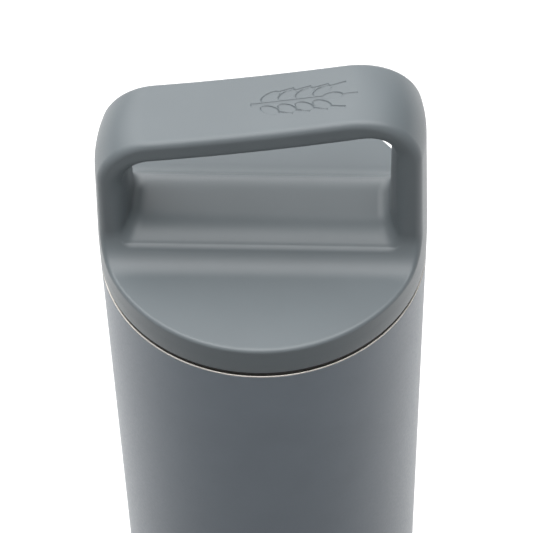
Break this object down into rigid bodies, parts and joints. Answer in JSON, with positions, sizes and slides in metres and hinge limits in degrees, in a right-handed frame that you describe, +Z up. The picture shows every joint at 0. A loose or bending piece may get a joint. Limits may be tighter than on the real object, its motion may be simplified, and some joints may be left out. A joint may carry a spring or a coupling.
{
  "type": "insulated growler",
  "caption": "Tall cylindrical vacuum-insulated drinks growler with a flush screw lid and a wide slanted loop handle moulded into the lid.",
  "frame": {"origin": "centre of the base, on the surface that the growler stands on", "axes": "+Z up along the flask's axis; the handle loops across the lid along X, and its bar rises towards +X; the strap's broad faces look along -Y and +Y"},
  "size_m": [0.12, 0.12, 0.3151],
  "materials": {
    "powder_coat": "matte",
    "bare_steel": "satin",
    "foil": "polished",
    "solder": "gloss",
    "getter_metal": "matte",
    "silicone": "matte",
    "lid_plastic": "matte",
    "plug_plastic": "satin",
    "foam": "matte"
  },
  "bodies": {
    "flask": {"outer_shell": "powder_coat", "inner_liner": "bare_steel", "reflector_foil": "foil", "vacuum_base": "bare_steel", "seal_bead": "solder", "getter": "getter_metal", "getter_clip": "bare_steel", "base_cover": "powder_coat"},
    "seal": {"rim_gasket": "silicone"},
    "lid": {"lid_cap": "lid_plastic", "lid_plug": "plug_plastic", "plug_insulation": "foam"}
  },
  "joints": [
    {"name": "lid_lift", "type": "slide", "parent": "flask", "child": "seal", "axis": [0, 0, 1], "range_m": [0, 0.0301]},
    {"name": "lid_turn", "type": "hinge", "parent": "seal", "child": "lid", "pos_m": [0, 0, 0.2336], "axis": [0, 0, 1], "range_deg": [0, 720]}
  ],
  "couplings": [
    {"joint": "lid_lift", "follows": "lid_turn", "m_per_rad": 0.0023873}
  ]
}
